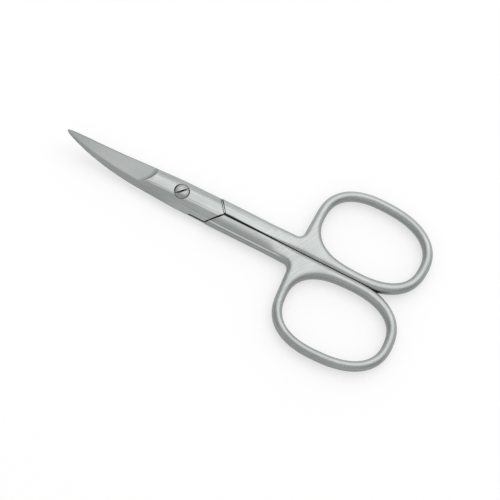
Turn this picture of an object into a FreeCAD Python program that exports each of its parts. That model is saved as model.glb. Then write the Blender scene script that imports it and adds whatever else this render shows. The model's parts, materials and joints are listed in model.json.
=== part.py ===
import FreeCAD, Part
import math
import os

# Curved cuticle scissors: two forged halves that cross at a slotted screw.
# Millimetres. X runs from the rings towards the tips, Z up. The halves are shut, tips curving up,
# and the upper half has its ring on the -Y side. They are built with the screw at X = 0, and moved at
# the end so that the origin is in the middle of the length, on the resting face.

# Joint
lap_height = 1.75          # resting face to the plane where the halves lie on each other
lap_gap = 0.06             # between the two ground lap faces
joint_width = 7.1          # across both edges beside the screw
upper_crown = 1.75         # upper half over the lap plane, at the screw
lower_crown = 1.95         # lower half under the lap plane, before its flat is ground
shoulder_distance = 10.9   # screw to the point of the chevron shoulder
near_angle = 46.0          # chevron line to the long axis on the +Y side, degrees
far_angle = 56.0           # the same on the -Y side
shoulder_gap = 0.4         # between a shoulder and the other half's heel
groove_width = 0.16        # two engraved lines carry the chevron on across a half's own side
groove_depth = 0.14
relief_length = 3.7        # shadow slit in front of the shoulder, along the edge
relief_width = 0.3
relief_depth = 0.35

# Blades
pivot_to_tip = 29.35
heel_distance = 7.0        # screw to the widest place of the blade
heel_width = 6.42
tip_width = 0.28
tip_crown = 0.3            # thickness of one half at the tip
bend_start = 10.5          # radius about the screw where the lap face starts to curve up
bend_radius = 38.0
ridge_at_shoulder = 0.9    # long axis to the ridge between crown and back bevel
ridge_at_heel = 1.35
back_wall = 0.2            # upright strip under the back bevel
outline_swell = 1.3        # exponents of the blade's outline, from heel to tip
outline_point = 0.65
crown_taper = 1.7          # exponent of the thinning towards the tip
joint_taper = 1.2          # exponent of the narrowing from screw to heel

# Hollow-ground facets, cylinders that slope down to the cutting edges
facet_slope = 0.2
upper_facet_radius = 39.5
upper_facet_place = 11.3   # screw to the lowest line of the upper facet
upper_facet_height = 0.75  # that line over the lap plane, on the long axis
lower_facet_radius = 34.0
lower_facet_place = 10.3
lower_facet_height = 0.8
runout_radius = 7.6        # plan radius of the wheel's run-out behind the facet
runout_place = 14.5        # screw to the run-out's centre, along the long axis
runout_offset = 3.1        # long axis to that centre, towards the cutting edge
runout_fillet = 1.4

# Shanks
shank_width = 7.27         # both shanks, edge to edge
crown_radius = 8.8         # across the top of a shank
crown_flat_reach = 12.9    # ring centre to where the crown has flattened
crown_fade_length = 9.0    # over which it does so
taper_end_reach = 0.9      # ring centre to where the shank stops thinning
taper_length = 34.0        # over which it thins
gap_at_joint = 0.6         # between the shanks at the shoulder
gap_at_rings = 0.24        # between the ring arms
arms_meet_reach = 14.9     # ring centre to where the ring arms meet
corner_radius = 1.5        # inner corner between shank and ring

# Finger rings
ring_distance = 42.9       # screw to ring centre, along the long axis
ring_offset = 10.68        # long axis to ring centre
ring_tilt = 2.9            # ring's length against the long axis, degrees
ring_lean = 0.041          # share by which the outer side is fuller towards the rear
ring_thickness = 2.6
hole_front = 10.7          # ring centre to the hole's edge towards the screw
hole_rear = 13.9
hole_half_width = 8.3
hole_squareness = 2.45
ring_end_wall = 2.3        # width of the ring's wire at its two ends
ring_outer_wall = 2.35
ring_inner_wall = 2.85     # before the flat of the ring arms is ground
ring_squareness = 2.36
edge_round = 1.1           # rounding of shank and ring edges

# Screw
screw_offset = 0.35        # screw's axis from the long axis, towards the upper half's ring
head_radius = 1.72
head_rim_height = 1.45     # rim over the lap plane
head_dome_height = 1.85
recess_clearance = 0.12    # round the head
recess_floor = 0.85        # over the lap plane
head_lift = 0.05           # under the head
neck_radius = 1.15
neck_clearance = 0.04      # running fit of the upper half on the neck
thread_radius = 0.9
thread_clearance = 0.02
tail_recess = 0.15         # screw's end above the resting face
slot_width = 0.45
slot_depth = 0.5
slot_angle = 47.0

# Working values
far = 200.0                # reach of cutting blocks along the scissors
side = 20.0                # the same across and upwards
spare = 2.0                # by which blanks are longer than what is left of them
weld = 0.3                 # overlap of joint plate and shank, which are one forging
tiny = 0.001               # lengths below this count as none
half_gap = lap_gap / 2
ring_half_thickness = ring_thickness / 2
crown_fade_end = ring_distance - crown_flat_reach
crown_fade_start = crown_fade_end - crown_fade_length
taper_end = ring_distance - taper_end_reach
taper_start = taper_end - taper_length
gap_meets_rings = ring_distance - arms_meet_reach
screw_place = (ring_distance + hole_rear + ring_end_wall - pivot_to_tip) / 2
plate_rear = -shoulder_distance - spare
plate_shares = (1.0, 0.75, 0.5, 0.25, 0.0)
blade_shares = (0.0, 0.15, 0.3, 0.45, 0.6, 0.74, 0.86, 0.94, 0.98, 1.0)
crown_shares = (0.1, 0.45, 0.72, 0.9, 0.98, 1.0)
ring_steps = 44
shank_pitch = 2.63         # between the rows of points that carry a shank's top


def vec(x, y, z=0.0):
    return FreeCAD.Vector(x, y, z)


def smooth_step(value, start, end):
    share = min(max((value - start) / (end - start), 0.0), 1.0)
    return share * share * (3.0 - 2.0 * share)


def prism(points, low, high):
    """Upright solid over a polygon of plan points."""
    wire = Part.makePolygon([vec(x, y, low) for x, y in points + points[:1]])
    return Part.Face(wire).extrude(vec(0, 0, high - low))


def cylinder(radius, low, high):
    """Upright cylinder about the screw's axis."""
    return Part.makeCylinder(radius, high - low, vec(0, -screw_offset, low))


# Lap face: flat round the screw, then an arc. It is turned about the screw's axis, so the blades
# slide on each other at every opening angle.

def bend(radius):
    """Height of the lap face over the lap plane at a radius about the screw."""
    run = max(radius - bend_start, 0.0)
    return bend_radius - math.sqrt(bend_radius ** 2 - run ** 2)


def over_lap_face(shift, axis_y):
    """Everything above the lap face, raised by a shift, within reach of the blades."""
    reach = pivot_to_tip + spare
    base = lap_height + shift
    middle = (bend_start + reach) / 2
    top = lap_height + 2 * bend(reach)
    edges = [
        Part.makeLine(vec(0, 0, base), vec(bend_start, 0, base)),
        Part.Arc(vec(bend_start, 0, base), vec(middle, 0, base + bend(middle)),
                 vec(reach, 0, base + bend(reach))).toShape(),
        Part.makeLine(vec(reach, 0, base + bend(reach)), vec(reach, 0, top)),
        Part.makeLine(vec(reach, 0, top), vec(0, 0, top)),
        Part.makeLine(vec(0, 0, top), vec(0, 0, base)),
    ]
    turned = Part.Face(Part.Wire(edges)).revolve(vec(0, 0, 0), vec(0, 0, 1), 360)
    turned.translate(vec(0, axis_y, 0))
    return turned


# Front of a half: joint plate and blade. Built with the cutting edge and the ring on the +Y side.

def half_width(x):
    if x <= heel_distance:
        if x <= 0:
            return joint_width / 2 + (shank_width - joint_width) / 2 * (x / plate_rear)
        return joint_width / 2 - (joint_width - heel_width) / 2 * (x / heel_distance) ** joint_taper
    share = (x - heel_distance) / (pivot_to_tip - heel_distance)
    body = heel_width / 2 - tip_width / 2
    return tip_width / 2 + body * (1 - share ** outline_swell) ** outline_point


def crown(x, joint_crown):
    share = max(x - heel_distance / 2, 0.0) / (pivot_to_tip - heel_distance / 2)
    return tip_crown + (joint_crown - tip_crown) * (1 - share ** crown_taper)


def ridge(x):
    if x > heel_distance:
        return ridge_at_heel * half_width(x) / half_width(heel_distance)
    share = (x + shoulder_distance) / (heel_distance + shoulder_distance)
    return ridge_at_shoulder + (ridge_at_heel - ridge_at_shoulder) * share


def front_section(x, up, joint_crown, inset):
    """Outline across the long axis: upright back wall, back bevel, ridge, crown."""
    width, height = half_width(x) - inset, crown(x, joint_crown) - inset
    middle = lap_height + bend(max(x, 0.0))
    wall = back_wall * height / joint_crown
    foot = middle - up * height

    def at(y, over):
        return vec(x, y, middle + up * over)

    def crown_at(y):
        return at(y, height * math.sqrt(max(1 - (y / width) ** 2, 0.0)))

    top = Part.BSplineCurve()
    top.interpolate([crown_at(-ridge(x))] + [crown_at(width * share) for share in crown_shares])
    corners = [at(width, 0), vec(x, width, foot), vec(x, -width, foot), at(-width, wall),
               crown_at(-ridge(x))]
    lines = [Part.makeLine(a, b) for a, b in zip(corners, corners[1:])]
    return Part.Wire([top.toShape()] + lines)


def plate_stations():
    return [plate_rear * share for share in plate_shares] + [heel_distance / 2]


def front_body(up, joint_crown):
    blade = pivot_to_tip - heel_distance
    stations = plate_stations() + [heel_distance + blade * share for share in blade_shares]
    return Part.makeLoft([front_section(x, up, joint_crown, 0.0) for x in stations], True, False)


def joint_core(up, joint_crown):
    """The joint plate down to the bottom of its engraved lines."""
    return Part.makeLoft([front_section(x, up, joint_crown, groove_depth) for x in plate_stations()],
                         True, False)


def heel_line(y, up, back):
    """Place along X of the chevron, moved back by a distance square to its line."""
    angle = math.radians(near_angle if y * up < 0 else far_angle)
    return -shoulder_distance + abs(y) / math.tan(angle) - back / math.sin(angle)


def joint_plan(up):
    """Plan of joint plate and blade: ends at the chevron, runs into its own shank on the +Y side."""
    inner = gap_at_joint / 2
    own = shoulder_gap + weld
    return [(far, side), (heel_line(side, up, own), side), (heel_line(inner, up, own), inner),
            (heel_line(inner, up, 0), inner), (heel_line(0, up, 0), 0),
            (heel_line(-side, up, 0), -side), (far, -side)]


def runout_pan():
    """Flat-bottomed round pan with a rounded bottom edge, standing on the origin."""
    flat = runout_radius - runout_fillet
    turn = runout_fillet * math.sqrt(0.5)
    corners = [vec(runout_radius, 0, runout_fillet), vec(runout_radius, 0, side), vec(0, 0, side),
               vec(0, 0, 0), vec(flat, 0, 0)]
    arc = Part.Arc(corners[-1], vec(flat + turn, 0, runout_fillet - turn), corners[0]).toShape()
    profile = Part.Wire([arc] + Part.makePolygon(corners).Edges)
    return Part.Face(profile).revolve(vec(0, 0, 0), vec(0, 0, 1), 360)


def facet_cutters(up, radius, place, height):
    """What the wheel grinds away outside the facet: a rounded run-out, then a wide cylinder."""
    tilt = math.atan(facet_slope)
    normal = vec(0, math.sin(tilt), up * math.cos(tilt))
    along = vec(0, math.cos(tilt), -up * math.sin(tilt))
    pan = runout_pan()
    pan.Placement = FreeCAD.Placement(
        vec(runout_place, runout_offset, lap_height + up * (height - facet_slope * runout_offset)),
        FreeCAD.Rotation(vec(0, 0, 1), normal))
    behind = Part.makeBox(far, far, far, vec(place - far, -far / 2, -far / 2))
    axle = vec(place, 0, lap_height + up * height) + normal * (up * radius)
    wheel = Part.makeCylinder(radius, far, axle - along * (far / 2), along)
    ahead = Part.makeBox(pivot_to_tip, 2 * side, 2 * side, vec(place, -side, lap_height))
    if up > 0:
        return pan.common(behind), ahead.common(wheel)
    ahead.translate(vec(0, 0, bend(pivot_to_tip) - 2 * side))
    return pan.common(behind), ahead.cut(wheel)


# Handle of a half: shank and finger ring on the +Y side.

def oval_point(angle, front, rear, inner, outer, squareness):
    """Point of a ring outline: a squared oval with its own reach to each side."""
    across, along = math.sin(angle), math.cos(angle)
    length = front if along > 0 else rear
    width = outer * (1 - ring_lean * along) if across > 0 else inner
    reach = (abs(along / length) ** squareness + abs(across / width) ** squareness) ** (-1 / squareness)
    tilt = math.radians(ring_tilt)
    x, y = reach * along, reach * across
    return vec(-ring_distance + x * math.cos(tilt) - y * math.sin(tilt),
               ring_offset + x * math.sin(tilt) + y * math.cos(tilt))


def hole_face():
    curve = Part.BSplineCurve()
    curve.interpolate([oval_point(2 * math.pi * k / ring_steps, hole_front, hole_rear, hole_half_width,
                                  hole_half_width, hole_squareness) for k in range(ring_steps)],
                      PeriodicFlag=True)
    return Part.Face(Part.Wire(curve.toShape()))


def ring_point(angle):
    return oval_point(angle, hole_front + ring_end_wall, hole_rear + ring_end_wall,
                      hole_half_width + ring_inner_wall, hole_half_width + ring_outer_wall, ring_squareness)


def crotch_angle():
    """Angle on the ring's outline where it leaves the other ring, past the rear end."""
    low, high = math.pi, 1.5 * math.pi
    for _ in range(60):
        middle = (low + high) / 2
        if ring_point(middle).y > gap_at_rings / 2:
            low = middle
        else:
            high = middle
    return low


def handle_plan(up):
    """Outline of shank and ring. Past the crotch it runs straight on, under the face ground later."""
    edge = shank_width / 2
    front = vec(heel_line(edge, up, 0) + spare, edge)
    arm_start = ring_point(0.0)
    tilt = math.radians(ring_tilt)
    down = vec(math.sin(tilt), -math.cos(tilt))
    corner = arm_start + down * ((arm_start.y - edge) / math.cos(tilt))
    tangent = corner_radius * math.tan(math.radians(90 - ring_tilt) / 2)
    arm_end = corner - down * tangent
    shank_end = corner + vec(tangent, 0)
    centre = shank_end + vec(0, corner_radius)
    arc_middle = centre + (corner - centre).normalize() * corner_radius
    last = crotch_angle()
    ring = Part.BSplineCurve()
    ring.interpolate([ring_point(last * k / ring_steps) for k in range(ring_steps + 1)])
    crotch = ring_point(last)
    heading = (crotch - ring_point(last - tiny)).normalize()
    under = crotch - heading * ((spare + crotch.y) / heading.y)
    inner = vec(front.x, -spare)
    outline = [Part.makeLine(front, shank_end), Part.Arc(shank_end, arc_middle, arm_end).toShape(),
               Part.makeLine(arm_end, arm_start), ring.toShape(), Part.makeLine(crotch, under),
               Part.makeLine(under, inner), Part.makeLine(inner, front)]
    return Part.Face(Part.Wire(outline)).cut(hole_face())


def shank_top():
    """Surface over the shank and ring: crowned at the joint, flat over the ring, thinning on the way."""
    rows = []
    back = ring_distance + hole_rear + ring_end_wall + spare
    wide = ring_offset + hole_half_width + ring_outer_wall + spare
    for k in range(math.ceil((back + spare) / shank_pitch), -1, -1):
        along = back - k * shank_pitch
        fall = smooth_step(along, taper_start, taper_end)
        height = upper_crown + (ring_half_thickness - upper_crown) * fall
        bow = (1 - smooth_step(along, crown_fade_start, crown_fade_end)) / (2 * crown_radius)
        across = [-2 * spare, 0.0, wide / 6, wide / 3, wide / 2, wide]
        rows.append([vec(-along, y, height - bow * y * y) for y in across])
    surface = Part.BSplineSurface()
    surface.interpolate(rows)
    return surface.toShape()


def on_rim(edge):
    """True for edges that go round the top or the underside, not for the front end."""
    ends = [vertex.Point for vertex in edge.Vertexes]
    middle = edge.valueAt((edge.FirstParameter + edge.LastParameter) / 2)
    level = min(abs(point.z) for point in ends + [middle]) > ring_half_thickness / 4
    across = len(ends) == 2 and abs(ends[0].x - ends[1].x) < tiny
    return level and ends[0].z * ends[-1].z > 0 and middle.y > tiny - spare and not across


def handle(up):
    """Shank and ring with rounded edges, ground off along the gap and at the chevron shoulder."""
    blank = handle_plan(up).extrude(vec(0, 0, 2 * side))
    blank.translate(vec(0, 0, -side))
    above = shank_top().extrude(vec(0, 0, 3 * side))
    slab = blank.cut(above).cut(above.mirror(vec(0, 0, 0), vec(0, 0, 1)))
    slab = slab.makeFillet(edge_round, [edge for edge in slab.Edges if on_rim(edge)])
    slab.translate(vec(0, 0, lap_height))
    front, rear, wide = gap_at_joint / 2, gap_at_rings / 2, 2 * side
    kept = [(heel_line(front, up, shoulder_gap), front), (-gap_meets_rings, rear), (-far, rear),
            (-far, wide), (heel_line(wide, up, shoulder_gap), wide)]
    return slab.common(prism(kept, -side, side))


def groove(up, joint_crown, back):
    """Engraved line on the half's own side, a distance behind the chevron."""
    inner = gap_at_joint / 2
    front, rear = back - groove_width / 2, back + groove_width / 2
    band = [(heel_line(inner, up, front), inner), (heel_line(side, up, front), side),
            (heel_line(side, up, rear), side), (heel_line(inner, up, rear), inner)]
    return prism(band, -side, side).cut(joint_core(up, joint_crown))


def relief(up):
    """Slit at the lap face under the free edge, in front of the heel."""
    edge = half_width(-shoulder_distance / 2)
    rear = heel_line(-edge, up, 0) - spare
    low = lap_height if up > 0 else lap_height - relief_depth
    return Part.makeBox(relief_length + spare, spare, relief_depth,
                        vec(rear, relief_width - edge - spare, low))


def half(up, joint_crown, facet_radius, facet_place, facet_height):
    """One forged half, ring and cutting edge on +Y; up is 1 over the lap face and -1 under it."""
    lap = over_lap_face(up * half_gap, up * screw_offset)
    front = front_body(up, joint_crown)
    front = front.common(lap) if up > 0 else front.cut(lap)
    front = front.common(prism(joint_plan(up), -side, side))
    for cutter in facet_cutters(up, facet_radius, facet_place, facet_height):
        front = front.cut(cutter)
    body = front.cut(relief(up)).fuse(handle(up)).removeSplitter()
    return body.cut(groove(up, joint_crown, 0.0)).cut(groove(up, joint_crown, shoulder_gap))


def upper_half():
    body = half(1, upper_crown, upper_facet_radius, upper_facet_place, upper_facet_height)
    body = body.mirror(vec(0, 0, 0), vec(0, 1, 0))
    body = body.cut(cylinder(head_radius + recess_clearance, lap_height + recess_floor, side))
    return body.cut(cylinder(neck_radius + neck_clearance, 0, side))


def lower_half():
    body = half(-1, lower_crown, lower_facet_radius, lower_facet_place, lower_facet_height)
    body = body.cut(cylinder(thread_radius + thread_clearance, -side, lap_height))
    return body.cut(Part.makeBox(far, far, side, vec(-far / 2, -far / 2, -side)))


def pivot_screw():
    rim = lap_height + head_rim_height
    dome = lap_height + head_dome_height
    seat = lap_height + recess_floor + head_lift
    neck_end = lap_height - half_gap
    rise = head_dome_height - head_rim_height
    dome_radius = (head_radius ** 2 + rise ** 2) / (2 * rise)
    bow = math.asin(head_radius / dome_radius) / 2
    outline = Part.makePolygon([
        vec(0, 0, dome), vec(0, 0, tail_recess), vec(thread_radius, 0, tail_recess),
        vec(thread_radius, 0, neck_end), vec(neck_radius, 0, neck_end), vec(neck_radius, 0, seat),
        vec(head_radius, 0, seat), vec(head_radius, 0, rim)])
    on_dome = vec(dome_radius * math.sin(bow), 0, dome - dome_radius * (1 - math.cos(bow)))
    arc = Part.Arc(vec(head_radius, 0, rim), on_dome, vec(0, 0, dome)).toShape()
    body = Part.Face(Part.Wire(outline.Edges + [arc])).revolve(vec(0, 0, 0), vec(0, 0, 1), 360)
    slot = Part.makeBox(2 * side, slot_width, slot_depth + spare,
                        vec(-side, -slot_width / 2, dome - slot_depth))
    slot.rotate(vec(0, 0, 0), vec(0, 0, 1), slot_angle)
    body = body.cut(slot)
    body.translate(vec(0, -screw_offset, 0))
    return body


os.makedirs("parts", exist_ok=True)
for build in (upper_half, lower_half, pivot_screw):
    shape = build()
    solid = shape.Solids[0]
    solid.translate(vec(screw_place, 0, 0))
    name = build.__name__
    print(name, "solids", len(shape.Solids), "valid", solid.isValid(), "volume", round(solid.Volume, 2))
    solid.exportStep("parts/" + name + ".step")
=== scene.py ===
# %% [markdown]
# A pair of cuticle scissors, dressed for the camera.
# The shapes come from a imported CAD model: two forged halves and the slotted screw they turn on.
# Everything is in metres and already in place, so this lesson is about metal: how satin steel is
# brushed, what it reflects, and where the camera has to stand to see it as the photograph does.

# %% Load the CAD model
import json
import math
import bpy
from mathutils import Matrix, Vector

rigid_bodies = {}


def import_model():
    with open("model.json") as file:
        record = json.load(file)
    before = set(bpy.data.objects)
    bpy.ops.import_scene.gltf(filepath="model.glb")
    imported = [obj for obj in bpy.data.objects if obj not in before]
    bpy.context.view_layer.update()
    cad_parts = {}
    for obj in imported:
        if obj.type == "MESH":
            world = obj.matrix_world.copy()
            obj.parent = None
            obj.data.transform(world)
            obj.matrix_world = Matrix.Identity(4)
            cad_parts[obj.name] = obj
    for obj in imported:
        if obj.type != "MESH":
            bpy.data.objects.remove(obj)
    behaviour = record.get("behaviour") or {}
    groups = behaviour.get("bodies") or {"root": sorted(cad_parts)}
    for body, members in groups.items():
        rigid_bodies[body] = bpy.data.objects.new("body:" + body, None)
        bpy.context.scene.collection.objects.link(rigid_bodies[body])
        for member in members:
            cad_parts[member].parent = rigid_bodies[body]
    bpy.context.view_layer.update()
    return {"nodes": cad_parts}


for leftover in list(bpy.data.objects):
    bpy.data.objects.remove(leftover)
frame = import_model()
millimetre = 0.001

# %% [markdown]
# Where the camera stands.
# The photograph was taken from nearly half a metre with a long lens, so the blades hardly shrink
# towards the tips. The camera leans 20 degrees from straight above, towards the lower ring, which is
# why the lower flank of the joint shows and the upper one does not. It is also rolled by 27 degrees,
# so the scissors lie across the picture from top left to bottom right.
# A camera could be aimed with a Track To constraint, but three turns in a row say the same thing in
# numbers that can be read off the photograph.

# %% Camera
camera_distance = 451.9 * millimetre
camera_tilt = math.radians(20.0)
camera_swing = math.radians(1.18)
camera_roll = math.radians(26.99)
picture_width = 115.2 * millimetre
picture_middle = Vector((16.0, -12.69)) * millimetre
screw_station = Vector((14.875, 0.0, 1.75)) * millimetre

camera = bpy.data.objects.new("camera", bpy.data.cameras.new("camera"))
bpy.context.scene.collection.objects.link(camera)
camera.data.sensor_width = 36.0
camera.data.lens = camera.data.sensor_width * camera_distance / picture_width
aim = Matrix.Rotation(math.pi, 3, "Z")
aim = aim @ Matrix.Rotation(camera_swing, 3, "Y")
aim = aim @ Matrix.Rotation(camera_tilt, 3, "X")
aim = aim @ Matrix.Rotation(camera_roll, 3, "Z")
stand = screw_station + aim @ Vector((picture_middle.x, picture_middle.y, camera_distance))
camera.matrix_world = Matrix.Translation(stand) @ aim.to_4x4()
bpy.context.scene.camera = camera
print("camera at", [round(c, 4) for c in stand], "lens", round(camera.data.lens, 1), "mm")

# %% [markdown]
# Colours and nodes.
# A colour picked on a screen is an sRGB value, but a shader wants linear light, so one function
# turns a hex value into linear numbers. One more function adds a node, sets its options, and either
# fills or links its sockets; every material below is built with it.

# %% Colour and node helpers
def linear(hex_colour):
    """The linear RGBA of an sRGB hex value."""
    channels = [int(hex_colour[i:i + 2], 16) / 255 for i in (1, 3, 5)]
    bent = [c / 12.92 if c <= 0.04045 else ((c + 0.055) / 1.055) ** 2.4 for c in channels]
    return (*bent, 1.0)


def add(tree, kind, sockets=None, **settings):
    """A new node with its settings; each socket takes a value or a link."""
    made = tree.nodes.new(kind)
    for name, value in settings.items():
        setattr(made, name, value)
    for name, value in (sockets or {}).items():
        if isinstance(value, bpy.types.NodeSocket):
            tree.links.new(value, made.inputs[name])
        else:
            made.inputs[name].default_value = value
    return made


print("white is", linear("#ffffff"), "and middle grey is", round(linear("#808080")[0], 3))

# %% [markdown]
# Sums for shaders.
# A material is mostly arithmetic on where a point lies and which way it faces. The same few nodes
# come up again and again, so each gets a short name here: a sum on numbers, a sum on vectors, a ramp
# from one value to another, and a blend of two colours.
# The CAD model is in metres, but belt marks and seams are easier to think of in millimetres, so one
# function gives the place of a point in millimetres.

# %% Sums for shaders
blend_first = 6
blend_second = 7
blend_result = 2


def calculate(tree, operation, *values):
    """A sum on numbers."""
    return add(tree, "ShaderNodeMath", dict(enumerate(values)), operation=operation).outputs[0]


def vector_sum(tree, operation, *values):
    """A sum on vectors; a length comes out as a number."""
    made = add(tree, "ShaderNodeVectorMath", dict(enumerate(values)), operation=operation)
    return made.outputs["Value" if operation == "LENGTH" else "Vector"]


def ramp(tree, value, start, end, low=0.0, high=1.0, smooth=False):
    """From low to high while the value goes from start to end."""
    sockets = {"Value": value, "From Min": start, "From Max": end, "To Min": low, "To Max": high}
    curve = "SMOOTHSTEP" if smooth else "LINEAR"
    return add(tree, "ShaderNodeMapRange", sockets, interpolation_type=curve).outputs[0]


def blend(tree, share, first, second):
    """The first colour, turning into the second as the share grows to 1."""
    sockets = {"Factor": share, blend_first: first, blend_second: second}
    return add(tree, "ShaderNodeMix", sockets, data_type="RGBA").outputs[blend_result]


def place_in_mm(tree):
    """Where a point lies on the CAD model, in millimetres."""
    place = add(tree, "ShaderNodeTexCoord").outputs["Object"]
    per_metre = 1 / millimetre
    return vector_sum(tree, "MULTIPLY", place, (per_metre, per_metre, per_metre))


def level_from_axis(tree, place, axis_x, axis_y):
    """The level vector to a point from an upright axis."""
    return vector_sum(tree, "MULTIPLY_ADD", place, (1, 1, 0), (-axis_x, -axis_y, 0))


def new_material(name):
    """An empty material and its tree of nodes."""
    material = bpy.data.materials.new(name)
    material.use_nodes = True
    material.node_tree.nodes.clear()
    return material, material.node_tree


print("shader helpers: calculate, vector_sum, ramp, blend, place_in_mm, level_from_axis")

# %% [markdown]
# Brushed stainless steel.
# The halves are forged from hardened stainless steel, ground, and brushed with a fine belt. The belt
# ran along the shanks and blades, slantwise over the flat webs, and round the finger rings. That
# gives the eye a soft, pale reflection with fine lines in it, and no mirror image.
# The lines could be painted on an image, but then every half would need unwrapping. Here they are
# noise, stretched along the way the belt ran: straight on the shank, slanted on the web, and bent
# round the middle of each ring. Real belt marks are about 0.03 mm wide, far less than a pixel, so
# these are ten times as wide, to show at all.

# %% Belt marks
belt_mark_width = 0.3
belt_mark_length = 9.0
belt_mark_depth = 0.003
belt_mark_detail = 3.0
web_mark_angle = math.radians(62)
shank_to_web = (-4.0, -9.0)
web_to_ring = (-15.0, -22.0)
ring_middle_x = -28.0
ring_middle_y = 10.7
marks_round_ring = 1.2


def belt_noise(tree, place, **extra):
    """Noise at a place that has already been stretched."""
    sockets = {"Vector": place, "Scale": 1.0, "Detail": belt_mark_detail, **extra}
    dimensions = "4D" if "W" in extra else "3D"
    return add(tree, "ShaderNodeTexNoise", sockets, noise_dimensions=dimensions).outputs[0]


def belt_marks(tree, ring_side):
    """The height of the belt marks, 0 to 1, on a half whose ring is on that side of the X axis."""
    place = place_in_mm(tree)
    parts = add(tree, "ShaderNodeSeparateXYZ", {0: place}).outputs
    fine = 1 / belt_mark_width
    stretch = (1 / belt_mark_length, fine, fine)
    straight = belt_noise(tree, vector_sum(tree, "MULTIPLY", place, stretch))
    turned = add(tree, "ShaderNodeVectorRotate", {"Vector": place, "Angle": -web_mark_angle},
                 rotation_type="Z_AXIS").outputs[0]
    slanted = belt_noise(tree, vector_sum(tree, "MULTIPLY", turned, stretch))
    outward = level_from_axis(tree, place, ring_middle_x, ring_side * ring_middle_y)
    radius = vector_sum(tree, "LENGTH", outward)
    heading = vector_sum(tree, "NORMALIZE", outward)
    height = add(tree, "ShaderNodeCombineXYZ", {"Z": parts["Z"]}).outputs[0]
    slow_turn = (marks_round_ring, marks_round_ring, marks_round_ring)
    round_ring = vector_sum(tree, "MULTIPLY_ADD", heading, slow_turn, height)
    bent = belt_noise(tree, round_ring, W=calculate(tree, "MULTIPLY", radius, fine))
    marks = straight
    for (start, end), pattern in ((shank_to_web, slanted), (web_to_ring, bent)):
        share = ramp(tree, parts["X"], start, end, smooth=True)
        marks = add(tree, "ShaderNodeMix", {"Factor": share, "A": marks, "B": pattern}).outputs[0]
    return marks


print("belt marks", belt_mark_width, "mm wide and", belt_mark_length, "mm long")

# %% [markdown]
# Seams, painted shade and edges.
# Polishing paste and dust stay in the seams, where no belt reaches, and darken them; the darkening is
# also painted shade, in the gaps between the parts and along the foot of each wall near the floor. The
# Ambient Occlusion node finds these places by itself. Ground edges are never quite sharp either, so the
# Bevel node rounds the shading at each edge, which gives a ridge its thin bright line. Both could be
# modelled or painted, but these nodes do it for any shape, and leave the CAD model as it is.

# %% Seams, painted shade and edges
# Painted shade and dirt: the near-black that seams and the foot of walls near the floor are darkened
# towards.
seam_dirt_and_shade_grey = "#121312"
seam_shade_samples = 8
edge_break = 0.07
bevel_samples = 12


def with_seam_dirt_and_painted_shade(tree, colour, reach, span):
    """The colour, darkened with painted shade and dirt where little open air lies within reach."""
    open_air = add(tree, "ShaderNodeAmbientOcclusion", {"Distance": reach * millimetre},
                   samples=seam_shade_samples).outputs["AO"]
    return blend(tree, ramp(tree, open_air, *span), linear(seam_dirt_and_shade_grey), colour)


def metal_surface(tree, colour, gloss, marks, mark_depth, edge_radius):
    """Bare metal with marks in it and with rounded edges."""
    rounded = add(tree, "ShaderNodeBevel", {"Radius": edge_radius}, samples=bevel_samples).outputs[0]
    sockets = {"Height": marks, "Distance": mark_depth * millimetre, "Normal": rounded}
    bump = add(tree, "ShaderNodeBump", sockets).outputs[0]
    sockets = {"Base Color": colour, "Metallic": 1.0, "Roughness": gloss, "Normal": bump}
    surface = add(tree, "ShaderNodeBsdfPrincipled", sockets).outputs[0]
    add(tree, "ShaderNodeOutputMaterial", {"Surface": surface})


print("edges broken by", edge_break, "mm")

# %% [markdown]
# Where the finish changes, and where shade and highlight are painted.
# A half isn't the same all over. The facet along the blade's edge comes from a grinding wheel, and
# is duller and darker than the brushed steel. The sides are darker too, and that is painted shade:
# colour standing in for the dimmer light they see. A thin pale line along the lower shank is a
# painted highlight. Each of these is a mask: 1 where the facet, the painted shade or the painted
# highlight is found, and 0 elsewhere. A mask needs nothing but the place of a point and the way it
# faces.

# %% Masks
facet_start = (21.6, 22.6)
facet_turn = (0.1, -0.1)
# The next value bounds the painted side shade; the five after it place the painted highlight line on the
# lower shank.
side_shade_turn = (0.75, 0.3)
highlight_offset = 2.96
highlight_width = 0.2
highlight_middle = -2.75
highlight_half_length = 9.75
highlight_fade = 1.5


def facet_mask(tree, x, facing_y):
    """The ground facet: on the blade, and turned to the cutting edge."""
    on_blade = ramp(tree, x, *facet_start, smooth=True)
    return calculate(tree, "MULTIPLY", on_blade, ramp(tree, facing_y, *facet_turn))


def painted_side_shade_mask(tree, facing_z):
    """The painted side shade: all that faces neither up nor down."""
    upright = calculate(tree, "ABSOLUTE", facing_z)
    return ramp(tree, upright, *side_shade_turn, smooth=True)


def painted_highlight_mask(tree, x, y):
    """The painted highlight line along the lower shank, faded at its ends."""
    apart = calculate(tree, "ABSOLUTE", calculate(tree, "SUBTRACT", y, highlight_offset))
    near = ramp(tree, apart, highlight_width, 0.0, smooth=True)
    along = calculate(tree, "ABSOLUTE", calculate(tree, "SUBTRACT", x, highlight_middle))
    inside = ramp(tree, along, highlight_half_length, highlight_half_length - highlight_fade)
    return calculate(tree, "MULTIPLY", near, inside)


print("pale line", 2 * highlight_half_length, "mm long, facet from", facet_start[0], "mm on")

# %% [markdown]
# Steel on the halves.
# The steel is almost without colour, with a touch of green in the photograph. Belt marks and a slow
# cloud of wear vary its grey, and the gloss follows the marks too, because a scratch scatters light.
# Belt and fingers have worn the edges unevenly: least at the joint, more on the blade and the shank,
# and most on the rings, where the rounding is wide enough to make them look oval in section. So the
# rounding grows along the half: each entry of edge_growth says where a growth starts, where it ends,
# and how much it adds, in millimetres.

# %% Brushed steel on the two halves
steel_grey = "#b9bdbc"
worn_grey = "#979b9a"
facet_grey = "#9fa3a2"
# Painted shade: the darker grey given to the sides.
painted_side_shade_grey = "#8b8f8e"
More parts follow.
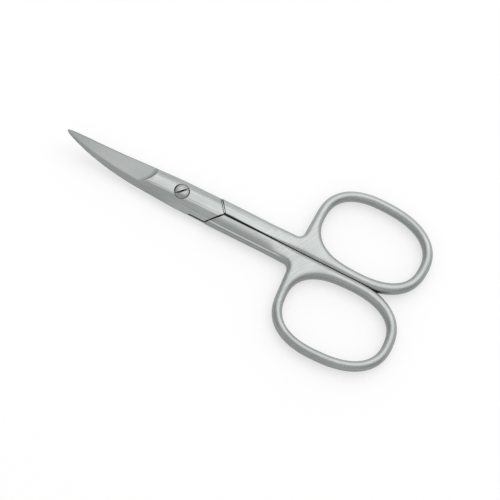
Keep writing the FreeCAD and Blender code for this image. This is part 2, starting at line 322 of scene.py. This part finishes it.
# Painted highlight: the pale grey of the line along the lower shank.
painted_highlight_grey = "#e0e3e2"
wear_size = 6.0
wear_detail = 2.0
streak_share = 0.45
ring_streak_share = 0.1
mark_span = (0.3, 0.7)
steel_gloss = (0.22, 0.32)
facet_roughness = 0.2
# How far the painted shade and dirt in the seams reach, in millimetres; this reach also finds the floor
# under the walls.
seam_shade_reach = 0.8
seam_shade_span = (0.4, 0.85)
edge_growth = {
    "blade": (*facet_start, 0.25),
    "shank": (3.6, 1.6, 0.28),
    "ring": (-5.0, -17.0, 1.35),
}


def brushed_stainless_steel(name, ring_side):
    """Satin stainless steel with belt marks that follow a half of the scissors, painted shade on its
    sides and in its seams, and a painted highlight line on the lower half.
    """
    material, tree = new_material(name)
    marks = belt_marks(tree, ring_side)
    place = place_in_mm(tree)
    parts = add(tree, "ShaderNodeSeparateXYZ", {0: place}).outputs
    normal = add(tree, "ShaderNodeTexCoord").outputs["Normal"]
    facing = add(tree, "ShaderNodeSeparateXYZ", {0: normal}).outputs
    sockets = {"Vector": place, "Scale": 1 / wear_size, "Detail": wear_detail}
    cloud = add(tree, "ShaderNodeTexNoise", sockets).outputs[0]
    share = ramp(tree, parts["X"], *web_to_ring, streak_share, ring_streak_share)
    sockets = {"Factor": share, "A": cloud, "B": ramp(tree, marks, *mark_span)}
    wear = add(tree, "ShaderNodeMix", sockets).outputs[0]
    colour = blend(tree, wear, linear(steel_grey), linear(worn_grey))
    facet = facet_mask(tree, parts["X"], facing["Y"])
    colour = blend(tree, facet, colour, linear(facet_grey))
    # Painted shade: the sides, facing neither up nor down, get a darker grey.
    colour = blend(tree, painted_side_shade_mask(tree, facing["Z"]), colour, linear(painted_side_shade_grey))
    # Painted highlight: a pale line along the lower shank's rounded edge.
    if ring_side > 0:
        line = painted_highlight_mask(tree, parts["X"], parts["Y"])
        colour = blend(tree, line, colour, linear(painted_highlight_grey))
    # Painted shade, with some dirt: darker in the seams and along the foot of the walls near the floor.
    colour = with_seam_dirt_and_painted_shade(tree, colour, seam_shade_reach, seam_shade_span)
    gloss = ramp(tree, marks, *mark_span, *steel_gloss)
    gloss = calculate(tree, "MULTIPLY_ADD", facet, facet_roughness, gloss)
    edge_radius = edge_break * millimetre
    for start, end, growth in edge_growth.values():
        share = ramp(tree, parts["X"], start, end, smooth=True)
        edge_radius = calculate(tree, "MULTIPLY_ADD", share, growth * millimetre, edge_radius)
    metal_surface(tree, colour, gloss, marks, belt_mark_depth, edge_radius)
    return material


halves = {"upper_half": -1, "lower_half": 1}
for node, ring_side in halves.items():
    steel = brushed_stainless_steel(node + "_brushed_stainless_steel", ring_side)
    frame["nodes"][node].material_slots[0].material = steel
    print(node, "wears", steel.name, "with", len(steel.node_tree.nodes), "nodes")

# %% [markdown]
# The screw.
# A small screw is turned on a lathe, so its marks run in circles round its axis. The same trick
# works: noise by the distance from the axis. Its slot and the gap round its head are darkened with
# painted shade and some dirt, like the seams of the halves.

# %% Turned steel on the screw
turned_grey = "#a3a6a3"
turning_pitch = 0.2
turning_depth = 0.003
turning_detail = 2.0
screw_gloss = (0.24, 0.34)
# How far the painted shade and dirt round the screw reach, in millimetres.
screw_seam_shade_reach = 1.0
screw_seam_shade_span = (0.4, 0.8)
screw_axis = (14.875, -0.35)

screw_steel, tree = new_material("turned_stainless_steel")
radius = vector_sum(tree, "LENGTH", level_from_axis(tree, place_in_mm(tree), *screw_axis))
sockets = {"W": radius, "Scale": 1 / turning_pitch, "Detail": turning_detail}
rings = add(tree, "ShaderNodeTexNoise", sockets, noise_dimensions="1D").outputs[0]
gloss = ramp(tree, rings, 0.0, 1.0, *screw_gloss)
# Painted shade, with some dirt: darker in the slot and the gap round the head.
colour = with_seam_dirt_and_painted_shade(tree, linear(turned_grey), screw_seam_shade_reach, screw_seam_shade_span)
metal_surface(tree, colour, gloss, rings, turning_depth, edge_break * millimetre)
frame["nodes"]["pivot_screw"].material_slots[0].material = screw_steel
print("pivot_screw wears", screw_steel.name)

# %% [markdown]
# The table top.
# The photograph has a plain white ground. The floor is matt paper that keeps the soft shadow of the
# scissors. To the camera, and in what the steel mirrors, the paper also glows a little, as if lit
# from below like a light table: it then reads as white without more light on the metal.

# %% Floor
floor_half = 1.5
floor_drop = 0.02 * millimetre
floor_white = "#bcbcbc"
floor_glow = 0.555
corner_signs = [(-1, -1), (1, -1), (1, 1), (-1, 1)]
corners = [(x * floor_half, y * floor_half, -floor_drop) for x, y in corner_signs]

floor_mesh = bpy.data.meshes.new("floor")
floor_mesh.from_pydata(corners, [], [(0, 1, 2, 3)])
floor = bpy.data.objects.new("floor", floor_mesh)
bpy.context.scene.collection.objects.link(floor)
paper, tree = new_material("matt_white_paper")
ray = add(tree, "ShaderNodeLightPath").outputs
seen = calculate(tree, "MAXIMUM", ray["Is Camera Ray"], ray["Is Glossy Ray"])
seen = calculate(tree, "MAXIMUM", seen, ray["Is Transmission Ray"])
glow = calculate(tree, "MULTIPLY", seen, floor_glow)
matt = add(tree, "ShaderNodeBsdfDiffuse", {"Color": linear(floor_white)}).outputs[0]
shine = add(tree, "ShaderNodeEmission", {"Strength": glow}).outputs[0]
both = add(tree, "ShaderNodeAddShader", {0: matt, 1: shine}).outputs[0]
add(tree, "ShaderNodeOutputMaterial", {"Surface": both})
floor_mesh.materials.append(paper)
print("floor", 2 * floor_half, "m wide")

# %% [markdown]
# The room.
# Satin metal is a soft mirror: what it looks like is what stands round it. The flanks that face the
# camera are darker in the photograph, because that side of the room is dimmer. So the room is pale,
# fades from the far side to the near side, and is a little dimmer at both ends of the scissors.

# %% Room
far_level = 1.04
near_level = 0.62
fade_span = (-0.5, 0.15)
ends_dimming = -0.3

world = bpy.data.worlds.new("studio")
bpy.context.scene.world = world
world.use_nodes = True
tree = world.node_tree
tree.nodes.clear()
look = add(tree, "ShaderNodeTexCoord").outputs["Generated"]
toward = add(tree, "ShaderNodeSeparateXYZ", {0: look}).outputs
level = ramp(tree, toward["Y"], *fade_span, far_level, near_level, smooth=True)
ends = calculate(tree, "MULTIPLY", toward["X"], toward["X"])
dimmer = calculate(tree, "MULTIPLY_ADD", ends, ends_dimming, 1.0)
level = calculate(tree, "MULTIPLY", level, dimmer)
room = add(tree, "ShaderNodeBackground", {"Color": linear("#ffffff"), "Strength": level}).outputs[0]
add(tree, "ShaderNodeOutputWorld", {"Surface": room})
print("room from", far_level, "to", near_level)

# %% [markdown]
# Two lamps.
# The tops are bright in the photograph because they see a large soft box overhead, just beyond the
# scissors. A weak strip on the camera's side lifts the rounded edges that face it.

# %% Soft box and strip
lamp_distance = 0.6


def soft_light(name, lean, spread, width, radiance):
    """A soft light that leans from straight overhead to the far side, and fills that spread of angle."""
    lamp = bpy.data.lights.new(name, "AREA")
    lamp.shape = "RECTANGLE"
    lamp.size = width
    lamp.size_y = 2 * lamp_distance * math.tan(math.radians(spread / 2))
    lamp.energy = radiance * math.pi * lamp.size * lamp.size_y
    stand = bpy.data.objects.new(name, lamp)
    bpy.context.scene.collection.objects.link(stand)
    turn = Matrix.Rotation(math.radians(lean), 4, "X")
    stand.matrix_world = turn @ Matrix.Translation((0, 0, lamp_distance))
    print(name, round(lamp.energy, 2), "W,", round(lamp.size, 2), "by", round(lamp.size_y, 2), "m")


soft_light("soft_box", lean=27.5, spread=45, width=0.7, radiance=0.72)
soft_light("strip", lean=-40, spread=12, width=0.9, radiance=0.35)

# %% [markdown]
# Finish.
# The picture uses the plain Standard view, so the colours render as they were written.

# %% Finish
bpy.context.scene.view_settings.view_transform = "Standard"
